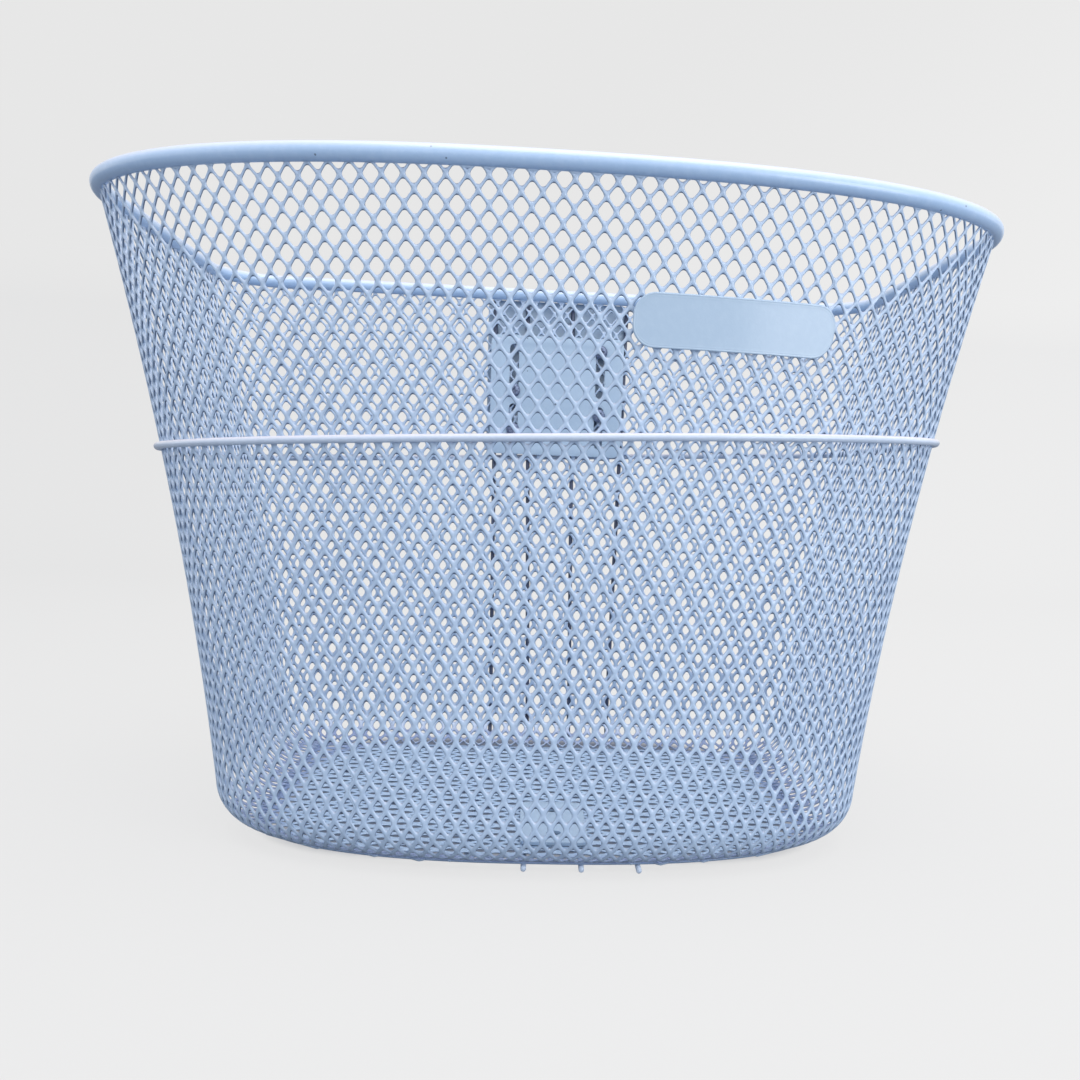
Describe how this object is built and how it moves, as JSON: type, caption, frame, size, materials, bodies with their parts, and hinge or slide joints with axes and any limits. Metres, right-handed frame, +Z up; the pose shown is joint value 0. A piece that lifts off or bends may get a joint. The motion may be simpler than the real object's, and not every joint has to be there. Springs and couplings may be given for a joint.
{
  "type": "wire bicycle basket",
  "caption": "Open-topped bicycle basket of expanded metal under a rolled rim, round at the front and flat at the back, with a bracket plate set, rear wires and a blank name plate.",
  "frame": {"origin": "under the middle of the whole assembly, on the surface that the basket stands on", "axes": "+X along the wide side, to the right as seen from the round front; +Y towards the flat back, which hangs on the bicycle; +Z up"},
  "size_m": [0.35, 0.2702, 0.2546],
  "materials": {
    "net_paint": "thick glossy powder paint, light blue",
    "plate_paint": "satin powder paint, light blue",
    "wire_coat": "dark blue-grey coated wire",
    "screw_zinc": "dull zinc plate"
  },
  "bodies": {
    "root": {"rim_tube": "net_paint", "wall_mesh": "net_paint", "floor_mesh": "net_paint", "ring_wire": "net_paint", "rear_wire_1": "wire_coat", "rear_wire_2": "wire_coat", "rear_wire_3": "wire_coat", "rear_wire_4": "wire_coat", "name_plate": "plate_paint", "inner_plate": "plate_paint", "outer_plate": "plate_paint", "floor_plate": "plate_paint", "screw_1": "screw_zinc", "washer_1": "screw_zinc", "nut_1": "screw_zinc", "screw_2": "screw_zinc", "washer_2": "screw_zinc", "nut_2": "screw_zinc", "screw_3": "screw_zinc", "washer_3": "screw_zinc", "nut_3": "screw_zinc", "screw_4": "screw_zinc", "washer_4": "screw_zinc", "nut_4": "screw_zinc"}
  },
  "joints": []
}
